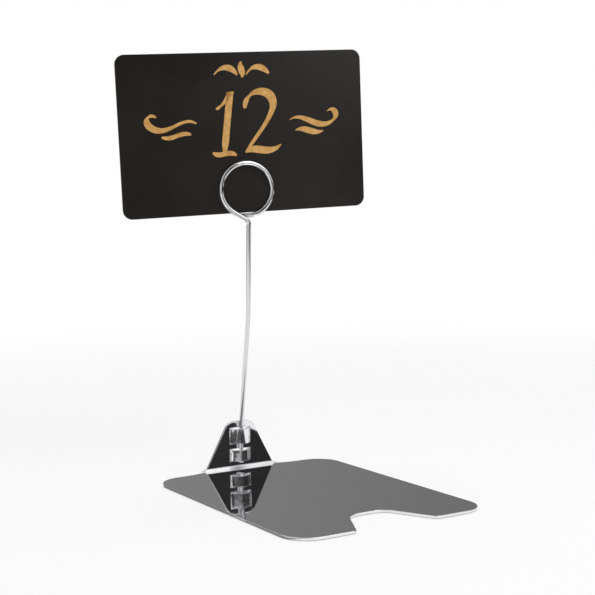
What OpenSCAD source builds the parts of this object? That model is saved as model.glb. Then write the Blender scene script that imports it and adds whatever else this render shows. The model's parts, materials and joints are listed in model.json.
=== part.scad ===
// Table card holder: a pressed sheet-metal base, a bent wire clip and the card that it grips.
// The origin is the middle of the plate's underside, +Z is up and the tab stands at the back, +Y.

/* [Base plate] */
// Width of the plate from side to side
plate_w = 68.5; // [60:0.5:90]
// Depth of the plate from its front edge to its back edge
plate_d = 92.8; // [80:0.2:120]
// Thickness of the sheet that the base is pressed from
sheet_t = 1; // [0.8:0.1:1.4]
// Radius of the plate's corners
corner_r = 9; // [4:0.5:12]

/* [Notch] */
// Width of the notch at the plate's front edge
notch_w = 28.4; // [24:0.2:34]
// Depth of the notch from the front edge
notch_depth = 16.3; // [12:0.1:20]
// Slope of the notch's flanks, in degrees from square to the front edge
notch_angle = 26; // [15:0.5:28]
// Radius of the notch's two inner corners
notch_r = 6; // [2:0.5:7]
// Radius of the two corners at the notch's mouth
mouth_r = 2; // [0.5:0.25:4]

/* [Tab] */
// Width of the tab at the level of the plate's top face
tab_w = 26.8; // [25:0.2:34]
// Height of the tab above the plate's top face
tab_h = 16.6; // [15.5:0.1:22]
// Forward lean of the tab, in degrees from upright
tab_lean = 1.3; // [0:0.1:4]
// Slope of the tab's flanks, in degrees from its middle line
tab_angle = 27.6; // [15:0.2:30]
// Radius of the tab's two top corners
tab_r = 4.2; // [1:0.2:5]
// Radius of the fillets where the flanks run out into the plate
root_r = 1.6; // [1:0.2:4]
// Straight length of the root beyond each fillet
root_flat = 0.5; // [0.2:0.1:1]
// Height of those straight lengths above the plate's top face
root_rise = 0.2; // [0.1:0.05:0.4]
// Length over which the back edge rises to the tab's root
root_run = 5; // [2:0.5:8]
// Inside radius of the bend under the tab
bend_r = 0.8; // [0.6:0.1:1.6]
// Distance of the tab's front face behind the plate's back edge
tab_setback = 1.86; // [1.7:0.02:3]

/* [Wire loops] */
// Height of the upper loop's strip
upper_loop_h = 5.2; // [3:0.1:5.5]
// Height of the lower loop's strip
lower_loop_h = 3.8; // [2:0.1:4]
// Height of the lower loop above the plate's top face
lower_loop_z = 2.7; // [2.4:0.1:3.2]
// Distance between the two loops
loop_web = 2.35; // [1.6:0.05:2.6]
// Thickness of the loops, which are stretched thinner than the sheet
loop_t = 0.9; // [0.6:0.05:0.95]
// Inside radius of the loops at their crest
loop_r = 2.9; // [1.5:0.1:3.2]
// Slope of the loops' legs, in degrees from the tab's face
loop_angle = 60; // [40:1:62]
// Bend radius where the loops leave the tab, at the middle of their thickness
foot_r = 1.2; // [0.8:0.1:1.6]
// Width of the slits along the loops' edges
slit_w = 0.3; // [0.2:0.05:0.4]

/* [Wire clip] */
// Diameter of the wire
wire_d = 1.6; // [1.2:0.1:1.8]
// Clearance all round between the wire and the loops that hold it
wire_clear = 0.05; // [0.02:0.01:0.1]
// Radius of the ring at the middle of the wire
ring_r = 9; // [8:0.1:12]
// Height of the ring's centre above the table
ring_z = 98.5; // [80:0.5:130]
// Distance of the ring's centre in front of the stem's foot
ring_reach = 8.6; // [4:0.2:12]
// Distance of the ring's centre to the left of the stem's foot
ring_side = 0.5; // [0:0.1:1]
// Turn of the ring about the upright, in degrees
ring_turn = -13; // [-30:1:30]
// Forward lean of the ring and the card, in degrees
ring_lean = 3.4; // [0:0.2:8]
// Forward lean of the upper stem, in degrees
stem_lean = 5.2; // [2:0.2:8]
// Distance of the upper stem to the right of the ring's centre
stem_side = 0.5; // [0:0.1:1]
// Distance of the upper stem in front of the front coil
stem_proud = 0.5; // [0.4:0.1:1]
// Length of the upper stem below the kink
upper_stem = 34; // [20:1:40]
// Height of the wire's lower bend above the top of the upper loop
lower_bend_z = 0.8; // [0.7:0.1:2]
// Bend radius of the lower stem
lower_bend_r = 6; // [2:1:8]
// Bend radius in the middle of the stem
middle_bend_r = 70; // [20:5:100]
// Bend radius of the kink under the ring
kink_r = 2.2; // [1.6:0.1:3]
// Length of wire below the lower loop
wire_tail = 0.8; // [0.4:0.1:1]

/* [Card] */
// Width of the card
card_w = 85.6; // [60:0.2:100]
// Height of the card
card_h = 54; // [40:0.5:70]
// Thickness of the card
card_t = 0.76; // [0.5:0.02:1]
// Radius of the card's corners
card_r = 3.18; // [1:0.02:5]
// Clearance between the card and each coil of the ring
card_clear = 0.1; // [0.05:0.01:0.2]
// Gap between the card's lower edge and the wire that carries it
seat_gap = 0.3; // [0.25:0.05:0.6]
// Turn of the card in its own plane, in degrees, right side up
card_turn = 2.5; // [0:0.5:4]
// Distance of the lower edge's middle to the right of the ring's centre
card_side = 0.5; // [-3:0.5:3]

/* [Hidden] */

// Finest turn of an arc's steps, and the least steps in a slight bend
arc_step = 7.5;
least_steps = 4;
// Overrun of cutting tools past the faces that they cut
overrun = 1;
// Sides of the swept wire, and its size against the true cylinder that it runs out of
wire_sides = 16;
swept_share = 0.99;
// Length by which joined shapes run into each other
lap = 0.2;
// Ring: start of the coil, the crossing under the card and the wire's end, in degrees
// clockwise from the bottom as seen from the front
ring_start = 30;
ring_settled = 130;
cross_start = 335;
cross_end = 380;
ring_end = 672;
// Points along the straight run from the kink to the ring
run_points = 4;

// Levels and places in the base
front_y = -plate_d / 2;
back_y = plate_d / 2;
tab_front_y = back_y + tab_setback;
tab_mid_y = tab_front_y + sheet_t / 2;
tab_back_y = tab_front_y + sheet_t;
tab_foot = [0, tab_front_y, sheet_t];
bend_share = tan((90 + tab_lean) / 2);
bend_y = tab_front_y - bend_r * bend_share;
bend_corner = [tab_front_y + sheet_t / 2 * bend_share, sheet_t / 2];
tab_top = sheet_t + tab_h;
root_x = tab_w / 2 - root_rise * tan(tab_angle);
root_half = root_x + root_r * tan((90 - tab_angle) / 2) + root_flat;
loop_mid_r = loop_r + loop_t / 2;
loop_rise = wire_d + 2 * wire_clear + (sheet_t + loop_t) / 2;
loop_corner = (loop_rise + loop_mid_r * (1 / cos(loop_angle) - 1)) / tan(loop_angle);
loop_peak = loop_corner * tan(loop_angle);
loop_half = loop_corner + foot_r * tan(loop_angle / 2);
lower_z = sheet_t + lower_loop_z;
upper_z = lower_z + lower_loop_h + loop_web;
loops_top = upper_z + upper_loop_h;

// Places along the wire
wire_r = wire_d / 2;
axis_y = tab_front_y - wire_clear - wire_r;
foot_z = lower_z - wire_tail;
stem_foot = leaned([0, axis_y, foot_z]);
stem_start = leaned([0, axis_y, loops_top]);
stem_bend = leaned([0, axis_y, loops_top + lower_bend_z]);
ring_centre = [-ring_side, axis_y - ring_reach, ring_z];
coil_step = wire_d + card_t + 2 * card_clear;
ring_right = [cos(ring_turn), sin(ring_turn), 0];
ring_up = leaning_up(ring_lean);
ring_back = [-sin(ring_turn) * cos(ring_lean), cos(ring_turn) * cos(ring_lean), sin(ring_lean)];
kink_z = -(ring_r + stem_side * sin(ring_start)) / cos(ring_start);
kink = in_ring(stem_side, -stem_proud, kink_z);
middle_bend = kink - leaning_up(stem_lean) * upper_stem;

// Unit vector
function unit(v) = v / norm(v);

// Smooth step from 0 to 1 between two values
function eased(v, low, high) = let (s = min(1, max(0, (v - low) / (high - low)))) s * s * (3 - 2 * s);

// Arc of radius r that rounds the corner b between a and c, as [point, direction] pairs
function bend(a, b, c, r) =
    let (d1 = unit(b - a), d2 = unit(c - b), turn = acos(d1 * d2))
    let (inward = unit(d2 - d1 * (d1 * d2)), start = b - d1 * (r * tan(turn / 2)))
    let (steps = r == 0 ? 0 : max(least_steps, ceil(turn / arc_step)))
    [for (i = [0:steps]) let (q = turn * i / max(1, steps))
        [start + inward * (r * (1 - cos(q))) + d1 * (r * sin(q)), d1 * cos(q) + inward * sin(q)]];

function points_of(path) = [for (p = path) p[0]];

// Closed outline through the corners, each rounded by its own radius
function rounded(corners, radii) =
    let (n = len(corners))
    [for (i = [0:n - 1])
        each points_of(bend(corners[(i + n - 1) % n], corners[i], corners[(i + 1) % n], radii[i]))];

// Mirror image of a right-hand outline, in reverse order, put before it
function both_sides(right) = concat([for (i = [len(right) - 1:-1:0]) [-right[i][0], right[i][1]]], right);

// Outline of an even strip along a path of [point, direction] pairs
function across(p, t) = [-p[1][1], p[1][0]] * (t / 2);
function strip(path, t) = concat(
    [for (p = path) p[0] + across(p, t)],
    [for (i = [len(path) - 1:-1:0]) path[i][0] - across(path[i], t)]);

// Place of a point of the upright tab once the tab leans forward
function leaned(p) = let (d = p - tab_foot, c = cos(tab_lean), s = sin(tab_lean))
    tab_foot + [d[0], d[1] * c - d[2] * s, d[1] * s + d[2] * c];

// Upward direction in the ring's upright plane, leaning forward
function leaning_up(lean) = [sin(ring_turn) * sin(lean), -cos(ring_turn) * sin(lean), cos(lean)];

// Point given to the right of, behind and above the front coil's centre
function in_ring(right, back, up) = ring_centre + ring_right * right + ring_back * back + ring_up * up;

// Place of the wire at an angle round the ring: before, beneath and then behind the card
function coil_depth(q) =
    stem_proud * (eased(q, ring_start, ring_settled) - 1) + coil_step * eased(q, cross_start, cross_end);
function coil_point(q) = in_ring(-ring_r * sin(q), coil_depth(q), -ring_r * cos(q));

// The wire's middle line from just inside the loops to its end behind the card
ring_steps = ceil((ring_end - ring_start) / arc_step);
coil = [for (i = [0:ring_steps]) coil_point(ring_start + (ring_end - ring_start) * i / ring_steps)];
kink_arc = points_of(bend(middle_bend, kink, coil[0], kink_r));
kink_end = kink_arc[len(kink_arc) - 1];
swept_line = concat(
    [stem_start],
    points_of(bend(stem_foot, stem_bend, middle_bend, lower_bend_r)),
    points_of(bend(stem_bend, middle_bend, kink, middle_bend_r)),
    kink_arc,
    [for (i = [1:run_points]) kink_end + (coil[0] - kink_end) * i / (run_points + 1)],
    coil);

// Least gap of the wire to itself, between points that lie a quarter turn or more apart
quarter_turn = ceil(90 / arc_step);
self_gap = min([for (i = [0:len(swept_line) - 1], j = [i + quarter_turn:1:len(swept_line) - 1])
    norm(swept_line[i] - swept_line[j])]) - wire_d;
echo(least_wire_gap = self_gap);

// Directions along a line of points, and cross directions carried along it without twist
function directions(line) = [for (i = [0:len(line) - 1])
    unit(line[min(i + 1, len(line) - 1)] - line[max(i - 1, 0)])];
function carried(dirs, first) = [for (
    i = 0, c = first;
    i < len(dirs);
    c = i + 1 < len(dirs) ? unit(c - dirs[i + 1] * (c * dirs[i + 1])) : c, i = i + 1) c];

// Round tube swept along a line of points
module tube(line, r, sides) {
    dirs = directions(line);
    sideways = carried(dirs, [1, 0, 0]);
    last = len(line) - 1;
    ring_points = [for (i = [0:last], k = [0:sides - 1])
        let (q = 360 * k / sides)
        line[i] + sideways[i] * (r * cos(q)) + cross(dirs[i], sideways[i]) * (r * sin(q))];
    wall = [for (i = [0:last - 1], k = [0:sides - 1])
        let (a = i * sides + k, b = i * sides + (k + 1) % sides)
        each [[a, a + sides, b + sides], [a, b + sides, b]]];
    start_cap = [[for (k = [0:sides - 1]) k]];
    end_cap = [[for (k = [sides - 1:-1:0]) last * sides + k]];
    polyhedron(ring_points, concat(wall, start_cap, end_cap));
}

// Outlines of the plate, of the tab as seen from the front and of a loop as seen from above
plate_outline = rounded(
    both_sides([
        [notch_w / 2 - notch_depth * tan(notch_angle), front_y + notch_depth],
        [notch_w / 2, front_y],
        [plate_w / 2, front_y],
        [plate_w / 2, back_y],
        [root_half + root_run, back_y],
        [root_half - lap, bend_y]]),
    [0, 0, corner_r, corner_r, mouth_r, notch_r, notch_r, mouth_r, corner_r, corner_r, 0, 0]);

tab_outline = rounded(
    both_sides([
        [root_half, -overrun],
        [root_half, sheet_t + root_rise],
        [root_x, sheet_t + root_rise],
        [tab_w / 2 - tab_h * tan(tab_angle), tab_top]]),
    [tab_r, root_r, 0, 0, 0, 0, root_r, tab_r]);

tab_up = [-sin(tab_lean), cos(tab_lean)];
tab_end = bend_corner + tab_up * (tab_top + overrun);
tab_start = [bend_y - overrun, sheet_t / 2];
tab_profile = strip(concat(
    [[tab_start, [1, 0]]],
    bend(tab_start, bend_corner, tab_end, bend_r + sheet_t / 2),
    [[tab_end, tab_up]]), sheet_t);

loop_end = [loop_half + lap, tab_mid_y];
loop_start = [-loop_half - lap, tab_mid_y];
loop_line = [loop_start, [-loop_corner, tab_mid_y], [0, tab_mid_y - loop_peak],
    [loop_corner, tab_mid_y], loop_end];
loop_radii = [foot_r, loop_mid_r, foot_r];
loop_outline = strip([
    [loop_start, [1, 0]],
    for (i = [1:3]) each bend(loop_line[i - 1], loop_line[i], loop_line[i + 1], loop_radii[i - 1]),
    [loop_end, [1, 0]]], loop_t);

module leaning() {
    translate(tab_foot) rotate([tab_lean, 0, 0]) translate(-tab_foot) children();
}

module bent_tab() {
    intersection() {
        rotate([90, 0, 90]) linear_extrude(plate_w, center = true) polygon(tab_profile);
        leaning() translate([0, tab_back_y + overrun, 0]) rotate([90, 0, 0])
            linear_extrude(tab_back_y - bend_y + 3 * overrun) polygon(tab_outline);
    }
}

module loop_window(z, h) {
    translate([-loop_half, tab_front_y - overrun, z - slit_w])
        cube([2 * loop_half, sheet_t + 2 * overrun, h + 2 * slit_w]);
}

module wire_loop(z, h) {
    translate([0, 0, z]) linear_extrude(h) polygon(loop_outline);
}

// One pressing: the plate with its notch, the tab bent up and two loops pushed out of the tab
module base_plate() {
    color("silver") union() {
        linear_extrude(sheet_t) polygon(plate_outline);
        difference() {
            bent_tab();
            leaning() loop_window(lower_z, lower_loop_h);
            leaning() loop_window(upper_z, upper_loop_h);
        }
        leaning() wire_loop(lower_z, lower_loop_h);
        leaning() wire_loop(upper_z, upper_loop_h);
    }
}

// One wire: the foot that turns in the loops, the bent stem and a ring of two coils
module wire_clip() {
    color("gainsboro") union() {
        leaning() translate([0, axis_y, foot_z])
            cylinder(h = loops_top + lap - foot_z, r = wire_r, $fn = 48);
        tube(swept_line, wire_r * swept_share, wire_sides);
    }
}

// A plain card with round corners, held between the coils
module table_card() {
    corners = both_sides([[card_w / 2, 0], [card_w / 2, card_h]]);
    color([0.15, 0.13, 0.12])
        translate(ring_centre) rotate([0, 0, ring_turn]) rotate([ring_lean, 0, 0])
        translate([card_side, coil_step / 2, seat_gap - ring_r + wire_r]) rotate([0, -card_turn, 0])
        rotate([90, 0, 0]) linear_extrude(card_t, center = true)
        polygon(rounded(corners, [for (c = corners) card_r]));
}

base_plate();
wire_clip();
table_card();
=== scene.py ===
"""Looks of the table card holder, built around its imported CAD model.

Lengths are in metres, in the model's own frame: +Z is up and the tab stands at the back, +Y.
"""

import json
from math import ceil, cos, pi, radians, sin, tan

import bpy
from mathutils import Matrix, Vector
from mathutils.geometry import interpolate_bezier


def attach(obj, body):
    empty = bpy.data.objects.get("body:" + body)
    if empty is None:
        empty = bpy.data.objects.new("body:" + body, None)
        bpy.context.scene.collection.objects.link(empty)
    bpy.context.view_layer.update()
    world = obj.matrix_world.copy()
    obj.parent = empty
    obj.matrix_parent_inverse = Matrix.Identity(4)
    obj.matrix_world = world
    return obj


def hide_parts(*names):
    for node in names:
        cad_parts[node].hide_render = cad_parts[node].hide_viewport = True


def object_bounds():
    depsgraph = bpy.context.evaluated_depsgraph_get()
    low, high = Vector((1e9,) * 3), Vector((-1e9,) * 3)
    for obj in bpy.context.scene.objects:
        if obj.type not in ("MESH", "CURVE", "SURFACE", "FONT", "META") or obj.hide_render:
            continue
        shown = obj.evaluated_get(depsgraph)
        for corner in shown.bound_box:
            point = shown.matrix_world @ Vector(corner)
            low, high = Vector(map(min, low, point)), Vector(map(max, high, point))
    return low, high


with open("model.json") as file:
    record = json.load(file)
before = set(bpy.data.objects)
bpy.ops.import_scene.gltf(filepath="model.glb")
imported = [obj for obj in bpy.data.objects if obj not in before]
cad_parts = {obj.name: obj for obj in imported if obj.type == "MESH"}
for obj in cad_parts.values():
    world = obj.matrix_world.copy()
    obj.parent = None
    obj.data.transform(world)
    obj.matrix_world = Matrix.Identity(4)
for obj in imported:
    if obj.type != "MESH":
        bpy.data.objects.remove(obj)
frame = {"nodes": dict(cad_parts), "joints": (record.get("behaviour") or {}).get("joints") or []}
cad_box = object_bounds()
nodes = frame["nodes"]
joints = {joint["name"]: joint for joint in frame["joints"]}
scene = bpy.context.scene

# The camera, fitted to the photograph's 595 x 595 frame
FRAME_PX = 595
FOCAL_PX = 1264.5
SENSOR_MM = 36
CAMERA_PLACE = (-0.21046, -0.33901, 0.09437)
CAMERA_AZIMUTH = radians(-31.27)
CAMERA_PITCH = radians(-4.37)
CAMERA_ROLL = radians(-0.9)
CLIP_START = 0.01

# The base: its sheet, how high the bend and the tab's root reach, and where the plate and the tab end
SHEET_T = 0.001
BEND_TOP = 0.0019
ROOT_TOP = 0.0021
TAB_FRONT = 0.04826
BACK_EDGE = 0.0465

# Its loops, from the middle to the ends of their slits, and the dents in them
LOOPS_REACH = 0.0039
SLITS_REACH = 0.0044
LOOPS_TOP = 0.016
DENT_DEPTH = 0.000048
DENT_SHIFT = (0.009, 0, 0.002)

# Its finish: the fine relief, the darker and rougher lower strip of its edges, and their slope and
# rounding
RELIEF_DEPTH = 0.000004
LOWER_STRIP_T = 0.0003
EDGE_SLOPE = 0.3
SHEET_EDGE_R = 0.00018
LOOP_EDGE_R = 0.00006

# Joining and rounding the meshes: what counts as one point, as a flat face and as a sharp edge
MERGE_GAP = 0.000002
FLAT_ANGLE = radians(0.3)
SHARP_ANGLE = radians(40)
EDGE_SEGMENTS = 3

# The wire, with the values of its CAD node
WIRE_R = 0.0008
WIRE_SIDES = 32
WIRE_END_R = 0.0002
WIRE_END_STEPS = 4
FOOT_BELOW = 0.0056
BEND_ABOVE = 0.00735
LOWER_BEND_R = 0.006
MIDDLE_BEND_R = 0.07
KINK_R = 0.0022
UPPER_STEM = 0.034
STEM_LEAN = radians(5.2)
STEM_SIDE = 0.0005
STEM_PROUD = 0.0005
ARC_STEP = radians(3)
LEAST_STEPS = 6

# The ring at the wire's end; angles run clockwise from the bottom, as seen from the front
RING_R = 0.009
RING_CENTRE = (-0.0005, 0.03881, 0.0985)
RING_TURN = radians(-13)
RING_LEAN = radians(3.4)
RING_START = radians(30)
RING_SETTLED = radians(130)
CROSS_START = radians(335)
CROSS_END = radians(380)
RING_END = radians(672)
COIL_STEP = 0.00256

# The card and the print on its front
CARD_T = 0.00076
CARD_EDGE_R = 0.00012
CARD_SIDE = 0.0005
CARD_TURN = radians(2.5)
SEAT_GAP = 0.0003
PRINT_V = 0.0303
PRINT_UNIT = 0.00112
PEN_POINTS = 24
INK_T = 0.00002
NIB_ANGLE = radians(40)
NIB_THIN = 0.0008
NIB_THICK = 0.0031
NIB_TAPER = 0.1
FINE_SHARE = 0.75
FINE_TAPER = 0.35

# The stage: levels are shares of white; a flag fades out over a share of its length or height
FLOOR_SIZE = 8
FLOOR_DROP = 0.00005
SHADOW_SHARE = 0.45
SHADOW_NEAR = 0.15
SHADOW_FAR = 0.6
FILL_LEVEL = 0.36
FLAG_STEPS = 24
FLAG_RIM = 0.15
FLAG_EDGE = 0.001

# The ring's and the card's own frames: right, back and up
ring_turn = Matrix.Rotation(RING_TURN, 4, "Z")
ring_frame = Matrix.Translation(RING_CENTRE) @ ring_turn @ Matrix.Rotation(RING_LEAN, 4, "X")
card_frame = (
    ring_frame
    @ Matrix.Translation((CARD_SIDE, COIL_STEP / 2, SEAT_GAP + WIRE_R - RING_R))
    @ Matrix.Rotation(-CARD_TURN, 4, "Y")
)


class Shader:
    """A material's node tree, with short calls to add and join its nodes."""

    def __init__(self, name, constants):
        self.material = bpy.data.materials.new(name)
        self.material.use_nodes = True
        self.tree = self.material.node_tree
        self.surface = self.tree.nodes["Principled BSDF"]
        self.output = self.tree.nodes["Material Output"]
        for socket, value in constants.items():
            self.surface.inputs[socket].default_value = value

    def add(self, kind, settings=None, **inputs):
        """New node of that kind. An input is a value, or another node's output socket."""
        node = self.tree.nodes.new("ShaderNode" + kind)
        for key, value in (settings or {}).items():
            setattr(node, key, value)
        for key, value in inputs.items():
            socket = node.inputs[int(key[1:])] if key[0] == "_" else node.inputs[key]
            self.put(value, socket)
        return node

    def put(self, value, socket):
        if isinstance(value, bpy.types.NodeSocket):
            self.tree.links.new(value, socket)
        else:
            socket.default_value = value

    def math(self, operation, *values):
        inputs = {f"_{i}": value for i, value in enumerate(values)}
        return self.add("Math", {"operation": operation}, **inputs).outputs[0]

    def ramp(self, value, low, high, to_low=0.0, to_high=1.0):
        node = self.add("MapRange", {"interpolation_type": "SMOOTHSTEP"}, _0=value, _1=low, _2=high)
        self.put(to_low, node.inputs[3])
        self.put(to_high, node.inputs[4])
        return node.outputs[0]

    def noise(self, place, scale, detail=2.0, stretch=(1, 1, 1), shift=(0, 0, 0)):
        moved = self.add("Mapping", Vector=place, Location=shift, Scale=stretch).outputs[0]
        return self.add("TexNoise", Vector=moved, Scale=scale, Detail=detail).outputs[0]

    def tint(self, share, low, high):
        node = self.add("MixRGB", _0=share, _1=(*low, 1), _2=(*high, 1))
        return node.outputs[0]

    def bump(self, height, depth):
        node = self.add("Bump", Height=height, Distance=depth, Strength=1.0)
        self.put(node.outputs[0], self.surface.inputs["Normal"])

    def set(self, **sockets):
        for name, value in sockets.items():
            self.put(value, self.surface.inputs[name.replace("_", " ")])


def sheet_metal():
    """Mirror-polished sheet with faint smears, rougher where it is bent, with sheared edges whose lower
    strip is darker; painted shade darkens the bend a little.
    """
    s = Shader("polished_sheet_look", {"Metallic": 1.0})
    coords = s.add("TexCoord")
    place = s.add("SeparateXYZ", Vector=coords.outputs["Object"]).outputs
    normal = s.add("SeparateXYZ", Vector=coords.outputs["Normal"]).outputs
    across_y, across_z = (s.math("LESS_THAN", s.math("ABSOLUTE", n), EDGE_SLOPE) for n in normal[1:])

    # Zones of the pressing; the tab and its loops stand along the swivel's axis
    on_tab = s.math("GREATER_THAN", place[2], BEND_TOP)
    above_plate = s.math("GREATER_THAN", place[2], SHEET_T)
    on_fold = s.math("MULTIPLY", above_plate, s.math("SUBTRACT", 1, on_tab))
    plate_edge = s.math("MULTIPLY", s.math("LESS_THAN", place[2], SHEET_T), across_z)
    edge = s.math("MAXIMUM", plate_edge, s.math("MULTIPLY", on_tab, across_y))
    # The lower strip of the plate's edges, which is darker and rougher
    lower_edge_strip = s.math("MULTIPLY", plate_edge, s.math("LESS_THAN", place[2], LOWER_STRIP_T))
    _, axis_y, axis_z = joints["stem_swivel"]["axis"]
    upright_y = s.math("SUBTRACT", place[1], s.math("MULTIPLY", place[2], axis_y / axis_z))
    before_tab = s.ramp(upright_y, TAB_FRONT - SHEET_T / 4, TAB_FRONT - SHEET_T)
    on_loops = s.math("MULTIPLY", on_tab, before_tab)

    smears = s.noise(coords.outputs["Object"], scale=45, detail=4)
    lines = s.noise(coords.outputs["Object"], scale=900, detail=3, stretch=(1, 0.08, 1))
    shears = s.noise(coords.outputs["Object"], scale=2500, detail=2, stretch=(1, 1, 0.15))
    wear = s.math("ADD", smears, s.math("MULTIPLY", lines, 0.4))
    rough = s.ramp(wear, 0.4, 1.0, to_low=0.025, to_high=0.06)
    edge_rough = s.ramp(shears, 0.3, 0.7, to_low=0.08, to_high=0.2)
    for zone, more in ((edge, edge_rough), (lower_edge_strip, 0.25), (on_loops, 0.06), (on_fold, 0.45)):
        rough = s.math("ADD", rough, s.math("MULTIPLY", zone, more))
    # Painted shade: the bend's colour is darkened a little to dim its reflection, and the lower strip
    # of the plate's edges is darker
    darker_strip_and_painted_bend_shade = s.math("MAXIMUM", lower_edge_strip, s.math("MULTIPLY", on_fold, 0.1))
    s.set(
        Base_Color=s.tint(darker_strip_and_painted_bend_shade, (0.85, 0.85, 0.86), (0.42, 0.42, 0.43)),
        Roughness=rough,
    )
    dents = s.noise(coords.outputs["Object"], scale=300, detail=1, shift=DENT_SHIFT)
    dents = s.math("MULTIPLY", dents, s.math("MULTIPLY", on_loops, DENT_DEPTH / RELIEF_DEPTH))
    fine = s.math("ADD", s.math("MULTIPLY", shears, edge), s.math("MULTIPLY", smears, 0.4))
    s.bump(s.math("ADD", fine, dents), depth=RELIEF_DEPTH)
    return s.material


def drawn_wire():
    """Bright wire with fine lines along its length."""
    s = Shader("bright_wire_look", {"Metallic": 1.0})
    along = s.add("UVMap").outputs[0]
    lines = s.noise(along, scale=9, detail=3, stretch=(6, 0.4, 1))
    patches = s.noise(along, scale=3, detail=2, stretch=(1, 2, 1))
    s.set(
        Base_Color=s.tint(patches, (0.68, 0.68, 0.69), (0.75, 0.75, 0.76)),
        Roughness=s.ramp(s.math("ADD", lines, patches), 0.6, 1.4, to_low=0.05, to_high=0.14),
    )
    s.bump(lines, depth=0.0000005)
    return s.material


def card_plastic():
    """Warm black satin plastic with a fine grain and faint clouds."""
    s = Shader("card_black_look", {"Specular IOR Level": 0.42})
    place = s.add("TexCoord").outputs["Object"]
    grain = s.noise(place, scale=6000, detail=2)
    clouds = s.noise(place, scale=40, detail=3)
    wear = s.math("ADD", clouds, s.math("MULTIPLY", grain, 0.3))
    s.set(
        Base_Color=s.tint(clouds, (0.0108, 0.0078, 0.0060), (0.0138, 0.0102, 0.0080)),
        Roughness=s.ramp(wear, 0.4, 0.9, to_low=0.24, to_high=0.32),
    )
    s.bump(grain, depth=0.000002)
    return s.material


def gold_ink():
    """Gold ink with a slight metal sheen and a mottled cover."""
    s = Shader("gold_print_look", {"Metallic": 0.2})
    place = s.add("TexCoord").outputs["Object"]
    mottle = s.noise(place, scale=500, detail=4)
    flecks = s.noise(place, scale=5000, detail=2)
    s.set(
        Base_Color=s.tint(s.ramp(mottle, 0.3, 0.7), (0.66, 0.335, 0.085), (0.81, 0.47, 0.155)),
        Roughness=s.ramp(flecks, 0.3, 0.7, to_low=0.38, to_high=0.55),
    )
    s.bump(flecks, depth=0.000003)
    return s.material


def smooth_edges(node, width, share):
    """Joins the faces of a CAD node, shades its arcs smoothly and rounds its sharp edges.

    The share function builds the part of the full width that an edge has at its place.
    """
    group = bpy.data.node_groups.new(node.name + "_smooth", "GeometryNodeTree")
    for in_out in ("INPUT", "OUTPUT"):
        group.interface.new_socket("Geometry", in_out=in_out, socket_type="NodeSocketGeometry")

    def math(operation, *values):
        step = group.nodes.new("ShaderNodeMath")
        step.operation = operation
        for socket, value in zip(step.inputs, values):
            if isinstance(value, bpy.types.NodeSocket):
                group.links.new(value, socket)
            else:
                socket.default_value = value
        return step.outputs[0]

    source = group.nodes.new("NodeGroupInput")
    target = group.nodes.new("NodeGroupOutput")
    joined = group.nodes.new("GeometryNodeMergeByDistance")
    joined.inputs["Distance"].default_value = MERGE_GAP
    shaded = group.nodes.new("GeometryNodeSetMeshNormal")
    shaded.inputs["Remove Custom"].default_value = True
    shaded.inputs["Face Sharpness"].default_value = False
    shaded.inputs["Edge Sharpness"].default_value = False
    place = group.nodes.new("ShaderNodeSeparateXYZ")
    group.links.new(group.nodes.new("GeometryNodeInputPosition").outputs[0], place.inputs[0])
    angle = group.nodes.new("GeometryNodeInputMeshEdgeAngle").outputs["Unsigned Angle"]
    sharp = math("GREATER_THAN", angle, SHARP_ANGLE)
    weight = math("MULTIPLY", sharp, share(math, *place.outputs))
    stored = group.nodes.new("GeometryNodeStoreNamedAttribute")
    stored.domain = "EDGE"
    stored.inputs["Name"].default_value = "bevel_weight_edge"
    group.links.new(weight, stored.inputs["Value"])
    for a, b in ((source, joined), (joined, stored), (stored, shaded), (shaded, target)):
        group.links.new(a.outputs[0], b.inputs[0])
    node.modifiers.new("join", "NODES").node_group = group
    flat = node.modifiers.new("flat_faces", "DECIMATE")
    flat.decimate_type = "DISSOLVE"
    flat.angle_limit = FLAT_ANGLE
    rounded = node.modifiers.new("edges", "BEVEL")
    rounded.width = width
    rounded.segments = EDGE_SEGMENTS
    rounded.limit_method = "WEIGHT"
    # Short edges have no width, so they need not hold back the others
    rounded.use_clamp_overlap = False
    node.modifiers.new("weld", "WELD").merge_threshold = MERGE_GAP
    weighted = node.modifiers.new("shading", "WEIGHTED_NORMAL")
    weighted.keep_sharp = True


def base_share(math, x, y, z):
    """Full on the plate and the tab, less on the loops, none at the tab's root and the slits' ends."""
    aside = math("ABSOLUTE", x)
    on_plate = math("MULTIPLY", math("LESS_THAN", y, BACK_EDGE), math("LESS_THAN", z, BEND_TOP))
    on_tab = math("GREATER_THAN", z, ROOT_TOP)
    between_slits = math("LESS_THAN", aside, SLITS_REACH)
    by_loops = math("MULTIPLY", between_slits, math("LESS_THAN", z, LOOPS_TOP))
    on_loops = math("LESS_THAN", aside, LOOPS_REACH)
    loop_share = math("MULTIPLY", on_loops, LOOP_EDGE_R / SHEET_EDGE_R)
    tab_share = math("MAXIMUM", math("SUBTRACT", 1, by_loops), loop_share)
    return math("MAXIMUM", on_plate, math("MULTIPLY", on_tab, tab_share))


def even_share(math, x, y, z):
    """Full everywhere."""
    return 1.0


def new_mesh(name, vertices, faces, material, smooth):
    mesh = bpy.data.meshes.new(name)
    mesh.from_pydata([tuple(v) for v in vertices], [], faces)
    mesh.polygons.foreach_set("use_smooth", [smooth] * len(faces))
    mesh.materials.append(material)
    piece = bpy.data.objects.new(name, mesh)
    scene.collection.objects.link(piece)
    return piece


def eased(value, low, high):
    """Share of the way from low to high, with a soft start and end."""
    share = min(1, max(0, (value - low) / (high - low)))
    return share * share * (3 - 2 * share)


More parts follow.
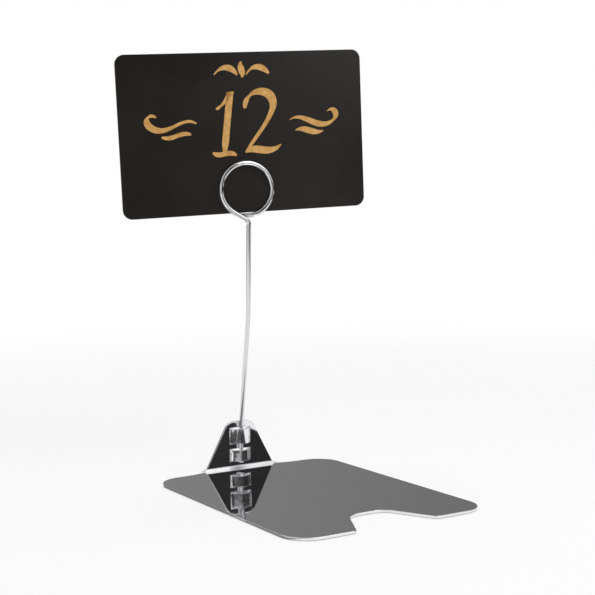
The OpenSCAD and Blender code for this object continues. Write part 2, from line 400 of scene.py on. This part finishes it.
def corner_arc(a, b, c, radius):
    """Points of the arc of that radius that rounds the corner b between a and c."""
    into, out = (b - a).normalized(), (c - b).normalized()
    turn = into.angle(out)
    inward = (out - into * into.dot(out)).normalized()
    start = b - into * radius * tan(turn / 2)
    steps = max(LEAST_STEPS, ceil(turn / ARC_STEP))
    angles = [turn * i / steps for i in range(steps + 1)]
    return [start + inward * radius * (1 - cos(q)) + into * radius * sin(q) for q in angles]


def coil_point(q):
    """Place of the wire at an angle round the ring: before, beneath and then behind the card."""
    settled = eased(q, RING_START, RING_SETTLED)
    crossed = eased(q, CROSS_START, CROSS_END)
    depth = STEM_PROUD * (settled - 1) + COIL_STEP * crossed
    return ring_frame @ Vector((-RING_R * sin(q), depth, -RING_R * cos(q)))


def wire_line():
    """The wire's middle line, from its foot in the loops to its end behind the card."""
    swivel, axis = (Vector(joints["stem_swivel"][key]) for key in ("pos_m", "axis"))
    foot = swivel - axis * FOOT_BELOW
    stem_bend = swivel + axis * BEND_ABOVE
    kink_z = -(RING_R + STEM_SIDE * sin(RING_START)) / cos(RING_START)
    kink = ring_frame @ Vector((STEM_SIDE, -STEM_PROUD, kink_z))
    stem_up = ring_turn @ Matrix.Rotation(STEM_LEAN, 4, "X") @ Vector((0, 0, 1))
    middle_bend = kink - stem_up * UPPER_STEM
    steps = ceil((RING_END - RING_START) / ARC_STEP)
    coil = [coil_point(RING_START + (RING_END - RING_START) * i / steps) for i in range(steps + 1)]
    return [
        foot,
        *corner_arc(foot, stem_bend, middle_bend, LOWER_BEND_R),
        *corner_arc(stem_bend, middle_bend, kink, MIDDLE_BEND_R),
        *corner_arc(middle_bend, kink, coil[0], KINK_R),
        *coil,
    ]


def rounded_ends(line):
    """(point, radius) pairs along the line, with the rims of its two ends rounded."""
    angles = [i * pi / 2 / WIRE_END_STEPS for i in range(WIRE_END_STEPS + 1)]

    def rim(end, beside):
        inward = (beside - end).normalized()
        setbacks = [(WIRE_END_R * (1 - sin(q)), WIRE_END_R * (1 - cos(q))) for q in angles]
        return [(end + inward * along, WIRE_R - across) for along, across in setbacks]

    first, last = rim(line[0], line[1])[::-1], rim(line[-1], line[-2])
    return [*first, *((p, WIRE_R) for p in line[1:-1]), *last]


def wire_clip():
    """A round tube along the wire's line. Its UV map runs round the wire and, in radii, along it."""
    stations = rounded_ends(wire_line())
    points = [p for p, _ in stations]
    last = len(points) - 1
    vertices, lengths = [], [0.0]
    side = Vector((1, 0, 0))
    turns = [2 * pi * k / WIRE_SIDES for k in range(WIRE_SIDES)]
    for i, (point, radius) in enumerate(stations):
        ahead = (points[min(i + 1, last)] - points[max(i - 1, 0)]).normalized()
        side = (side - ahead * side.dot(ahead)).normalized()
        up = ahead.cross(side)
        vertices += [point + (side * cos(q) + up * sin(q)) * radius for q in turns]
        lengths.append(lengths[-1] + (points[min(i + 1, last)] - point).length)
    faces = [
        (i * WIRE_SIDES + k, i * WIRE_SIDES + n, (i + 1) * WIRE_SIDES + n, (i + 1) * WIRE_SIDES + k)
        for i in range(last)
        for k, n in ((k, (k + 1) % WIRE_SIDES) for k in range(WIRE_SIDES))
    ]
    caps = [tuple(range(WIRE_SIDES))[::-1], tuple(last * WIRE_SIDES + k for k in range(WIRE_SIDES))]
    wire = new_mesh("bent_wire", vertices, faces + caps, drawn_wire(), True)
    map_round = wire.data.uv_layers.new(name="round_and_along")
    for face in wire.data.polygons[: len(faces)]:
        i, k = divmod(face.index, WIRE_SIDES)
        for corner, (a, b) in zip(face.loop_indices, ((0, 0), (0, 1), (1, 1), (1, 0))):
            map_round.data[corner].uv = ((k + b) / WIRE_SIDES, lengths[i + a] / WIRE_R)
    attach(wire, "stem")
    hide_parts("wire_clip")


def pen_line(*curves):
    """Points along a chain of curves, each given by its start, two handles and end in print units."""
    line = []
    for curve in curves:
        start, out, into, end = (Vector((u, v, 0)) * PRINT_UNIT for u, v in curve)
        line += interpolate_bezier(start, out, into, end, PEN_POINTS)[1 if line else 0:]
    return line


def mirrored(curve):
    return [(-u, v) for u, v in curve]


def printed_lines():
    """A table number, written with a broad pen, with a sprig above it and flourishes beside it."""
    one = pen_line(
        [(-8.4, 4.4), (-6.6, 5.2), (-5.0, 7.0), (-3.8, 9.4)],
        [(-3.8, 9.4), (-4.6, 4.0), (-5.6, -3.0), (-6.4, -9.0)],
    )
    one_foot = pen_line([(-10.0, -8.4), (-8.0, -10.4), (-5.0, -7.6), (-2.6, -9.6)])
    two = pen_line(
        [(0.6, 4.4), (0.6, 7.6), (3.2, 9.5), (5.8, 9.3)],
        [(5.8, 9.3), (9.0, 9.1), (10.2, 6.4), (9.2, 3.8)],
        [(9.2, 3.8), (7.8, 0.0), (3.4, -4.6), (0.2, -8.8)],
    )
    two_foot = pen_line([(0.2, -8.8), (3.4, -6.2), (7.4, -10.6), (11.6, -6.8)])
    scroll = [(14.6, 0.4), (19.0, 3.4), (23.4, -3.6), (28.4, -0.4)]
    curl = [(28.4, -0.4), (31.2, 1.6), (28.8, 4.4), (26.8, 2.6)]
    under = [(16.4, -2.8), (19.6, -1.4), (22.0, -4.6), (25.4, -3.2)]
    leaf = [(1.4, 14.4), (3.4, 17.6), (6.4, 17.2), (8.6, 14.6)]
    bud = pen_line([(0.0, 13.6), (0.9, 15.2), (-0.9, 16.6), (0.0, 18.4)])
    chains = [[scroll, curl], [under], [leaf]]
    sides = [pen_line(*chain) for chain in chains]
    sides += [pen_line(*map(mirrored, chain)) for chain in chains]
    return [one, two, two_foot], [one_foot, bud, *sides]


def ink_band(line, thick, taper):
    """Corners of a thin raised band along the line, as broad as the pen makes it in each direction.

    The taper is the share of the line over which it narrows at each end.
    """
    corners = []
    last = len(line) - 1
    for i, point in enumerate(line):
        ahead = (line[min(i + 1, last)] - line[max(i - 1, 0)]).normalized()
        sideways = Vector((-ahead.y, ahead.x, 0))
        spread = abs(ahead.x * sin(NIB_ANGLE) - ahead.y * cos(NIB_ANGLE))
        narrowed = min(1, (min(i, last - i) + 0.5) / last / taper) ** 0.5
        half = sideways * (NIB_THIN + (thick - NIB_THIN) * spread) * narrowed / 2
        corners.append((point + half, point - half))
    return corners


def gold_print():
    """The printed lines, as one thin mesh on the card's front.

    Each band lies a little higher than the one before it, and reaches a little into the card.
    """
    vertices, faces = [], []
    numerals, flourishes = printed_lines()
    bands = [ink_band(line, NIB_THICK, NIB_TAPER) for line in numerals]
    bands += [ink_band(line, NIB_THICK * FINE_SHARE, FINE_TAPER) for line in flourishes]
    for layer, band in enumerate(bands, 1):
        first = len(vertices)
        top = INK_T * layer / len(bands)
        for a, b in band:
            for p, depth in ((a, top), (b, top), (b, -INK_T), (a, -INK_T)):
                vertices.append(card_frame @ Vector((p.x, -CARD_T / 2 - depth, PRINT_V + p.y)))
        rings = [range(i, i + 4) for i in range(first, len(vertices), 4)]
        for a, b in zip(rings, rings[1:]):
            faces += [(a[k], b[k], b[k - 1], a[k - 1]) for k in (1, 2, 3, 0)]
        faces += [tuple(rings[0])[::-1], tuple(rings[-1])]
    number = new_mesh("table_number", vertices, faces, gold_ink(), False)
    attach(number, "card")


def bearing(azimuth):
    """Level direction at an angle from +Y, counterclockwise from above."""
    return Vector((-sin(azimuth), cos(azimuth), 0))


def flag_look(name, levels, fades):
    """Even grey that runs from one level to another along the flag and fades out at its rims."""
    s = Shader(name + "_look", {})
    along, up, _ = s.add("SeparateXYZ", Vector=s.add("UVMap").outputs[0]).outputs
    ends = s.math("MULTIPLY", s.ramp(along, 0, FLAG_RIM), s.ramp(along, 1, 1 - FLAG_RIM))
    rims = s.math("MULTIPLY", s.ramp(up, 0, fades[0]), s.ramp(up, 1, 1 - fades[1]))
    cover = s.math("MULTIPLY", ends, rims)
    glow = s.add("Emission", Color=s.ramp(along, 0, 1, *levels)).outputs[0]
    mixed = s.add("MixShader", _0=cover, _1=s.add("BsdfTransparent").outputs[0], _2=glow)
    s.put(mixed.outputs[0], s.output.inputs["Surface"])
    return s.material


def flag(name, feet, tops, levels, fades):
    """Studio card between two rows of points, which shows in the metal and the card's sheen alone.

    The fades are the shares of its height over which it fades out at its feet and at its tops.
    """
    steps = len(feet) - 1
    vertices = [p for pair in zip(feet, tops) for p in pair]
    faces = [(2 * i, 2 * i + 1, 2 * i + 3, 2 * i + 2) for i in range(steps)]
    card = new_mesh(name, vertices, faces, flag_look(name, levels, fades), True)
    cover = card.data.uv_layers.new(name="along_and_up")
    for face in card.data.polygons:
        for corner, (a, b) in zip(face.loop_indices, ((0, 0), (0, 1), (1, 1), (1, 0))):
            cover.data[corner].uv = ((face.index + a) / steps, b)
    card.visible_camera = card.visible_diffuse = card.visible_shadow = False


def wall(name, distance, azimuths, heights, levels, fades=(FLAG_EDGE, FLAG_RIM)):
    """Curved studio card that stands round the object."""
    start, end = azimuths
    turns = [start + (end - start) * i / FLAG_STEPS for i in range(FLAG_STEPS + 1)]
    rows = [[bearing(radians(q)) * distance + Vector((0, 0, z)) for q in turns] for z in heights]
    flag(name, *rows, levels, fades)


def painted_floor_shadow(name, x_span, y_span, level, fade):
    """Dark card that lies on the floor and fades out to its second x: painted shadow on the floor,
    which shows in the metal alone.
    """
    rows = [[Vector((x, y, 0)) for y in y_span] for x in x_span]
    flag(name, *rows, (level, level), (FLAG_EDGE, fade))


def seen_share(tree):
    """1 for rays that show the background to the camera, straight or in metal, and 0 for others."""
    path = tree.nodes.new("ShaderNodeLightPath")
    value = path.outputs["Is Camera Ray"]
    for name in ("Is Glossy Ray", "Is Transmission Ray"):
        either = tree.nodes.new("ShaderNodeMath")
        either.operation = "MAXIMUM"
        tree.links.new(value, either.inputs[0])
        tree.links.new(path.outputs[name], either.inputs[1])
        value = either.outputs[0]
    return value


def floor():
    """White floor that takes the object's shadow and runs out into the white background."""
    matt_white = {"Base Color": (1, 1, 1, 1), "Roughness": 1.0, "Specular IOR Level": 0.0}
    s = Shader("floor_look", matt_white)
    place = s.add("TexCoord").outputs["Object"]
    away = s.add("VectorMath", {"operation": "LENGTH"}, _0=place).outputs["Value"]
    clear = s.ramp(away, SHADOW_NEAR, SHADOW_FAR, 1 - SHADOW_SHARE, 1.0)
    glow = s.add("Emission", Color=(1, 1, 1, 1)).outputs[0]
    share = s.math("MULTIPLY", clear, seen_share(s.tree))
    mixed = s.add("MixShader", _0=share, _1=s.surface.outputs[0], _2=glow)
    s.put(mixed.outputs[0], s.output.inputs["Surface"])
    half = FLOOR_SIZE / 2
    outline = ((-half, -half), (half, -half), (half, half), (-half, half))
    corners = [(x, y, -FLOOR_DROP) for x, y in outline]
    new_mesh("floor", corners, [(0, 1, 2, 3)], s.material, False)


def background():
    """White where the camera or the metal sees it, and a dimmer fill light elsewhere."""
    world = bpy.data.worlds.new("studio")
    world.use_nodes = True
    scene.world = world
    tree = world.node_tree
    strength = tree.nodes.new("ShaderNodeMapRange")
    strength.inputs["To Min"].default_value = FILL_LEVEL
    strength.inputs["To Max"].default_value = 1.0
    tree.links.new(seen_share(tree), strength.inputs["Value"])
    sky = tree.nodes["Background"]
    sky.inputs["Color"].default_value = (1, 1, 1, 1)
    tree.links.new(strength.outputs[0], sky.inputs["Strength"])


def softbox(name, azimuth, elevation, distance, size, level, in_metal):
    """Square lamp aimed at the object. It lights a white card that faces it to its level."""
    lamp = bpy.data.lights.new(name, "AREA")
    lamp.size = size
    lamp.energy = level * pi * pi * distance * distance
    target = sum(cad_box, Vector()) / 2
    rise = radians(elevation)
    away = bearing(radians(azimuth)) * cos(rise) + Vector((0, 0, sin(rise)))
    aim = away.to_track_quat("Z", "Y").to_matrix().to_4x4()
    piece = bpy.data.objects.new(name, lamp)
    piece.matrix_world = Matrix.Translation(target + away * distance) @ aim
    piece.visible_camera = False
    piece.visible_glossy = in_metal
    scene.collection.objects.link(piece)


def camera():
    lens = bpy.data.cameras.new("photo_camera")
    lens.sensor_width = SENSOR_MM
    lens.lens = SENSOR_MM * FOCAL_PX / FRAME_PX
    lens.clip_start = CLIP_START
    piece = bpy.data.objects.new("photo_camera", lens)
    piece.matrix_world = (
        Matrix.Translation(CAMERA_PLACE)
        @ Matrix.Rotation(CAMERA_AZIMUTH, 4, "Z")
        @ Matrix.Rotation(pi / 2 + CAMERA_PITCH, 4, "X")
        @ Matrix.Rotation(CAMERA_ROLL, 4, "Z")
    )
    scene.collection.objects.link(piece)
    scene.camera = piece


camera()

smooth_edges(nodes["base_plate"], SHEET_EDGE_R, base_share)
nodes["base_plate"].material_slots[0].material = sheet_metal()
smooth_edges(nodes["table_card"], CARD_EDGE_R, even_share)
nodes["table_card"].material_slots[0].material = card_plastic()
wire_clip()
gold_print()

floor()
background()

# Walls round the back and the sides; levels run from the first azimuth to the second
wall("back_card", distance=0.5, azimuths=(-68, 8), heights=(0.04, 0.4), levels=(0.145, 0.27))
wall("left_wall", distance=0.55, azimuths=(-20, 100), heights=(0.04, 0.4), levels=(0.26, 0.4))
wall("right_wall", distance=0.55, azimuths=(-130, -55), heights=(0.04, 0.4), levels=(0.13, 0.18))

# Low walls round the left and the front
wall(
    "left_low", distance=0.45, azimuths=(15, 125), heights=(0.003, 0.045), levels=(0.36, 0.36),
    fades=(0.55, FLAG_RIM),
)
wall(
    "front_low", distance=0.25, azimuths=(112, 300), heights=(0, 0.046), levels=(0.34, 0.06),
    fades=(0.6, FLAG_EDGE),
)

# Dark and light bands before the object
wall(
    "dark_band", distance=0.38, azimuths=(50, 300), heights=(0.062, 0.1015), levels=(0.03, 0.02),
    fades=(FLAG_RIM, 0.03),
)
wall("tab_band", distance=0.25, azimuths=(196, 240), heights=(0.046, 0.088), levels=(0.035, 0.01))
wall("front_left", distance=0.34, azimuths=(100, 190), heights=(0.096, 0.17), levels=(0.75, 0.25))
wall(
    "card_flag", distance=0.33, azimuths=(158, 186), heights=(0.1, 0.23), levels=(0.03, 0.03),
    fades=(FLAG_EDGE, 0.35),
)
wall(
    "card_low", distance=0.33, azimuths=(158, 187), heights=(0.012, 0.082), levels=(0.03, 0.03),
    fades=(0.3, FLAG_EDGE),
)
wall("ring_line", distance=0.33, azimuths=(180, 235), heights=(0.086, 0.116), levels=(0.04, 0.04))
wall(
    "ring_glow", distance=0.2, azimuths=(80, 150), heights=(0.07, 0.104), levels=(0.9, 0.7),
    fades=(FLAG_RIM, FLAG_RIM),
)
wall("left_high", distance=0.5, azimuths=(108, 172), heights=(0.2, 1.0), levels=(0.07, 0.07))

# Painted shadow on the floor beside the plate's left edge: dark cards that the metal shows in place of
# the object's cast shadow and its contact shade there
painted_floor_shadow("left_floor_painted_shadow", x_span=(-0.035, -0.083), y_span=(-0.015, 0.1), level=0.06, fade=0.3)
painted_floor_shadow("edge_painted_shadow", x_span=(-0.0343, -0.04), y_span=(-0.1, 0.1), level=0.25, fade=0.7)

softbox("key_lamp", azimuth=200, elevation=50, distance=0.5, size=0.4, level=0.3, in_metal=True)
softbox("top_lamp", azimuth=-20, elevation=80, distance=1.2, size=0.9, level=0.42, in_metal=False)
softbox("left_lamp", azimuth=85, elevation=40, distance=1.1, size=0.7, level=0.15, in_metal=False)
scene.view_settings.view_transform = "Standard"
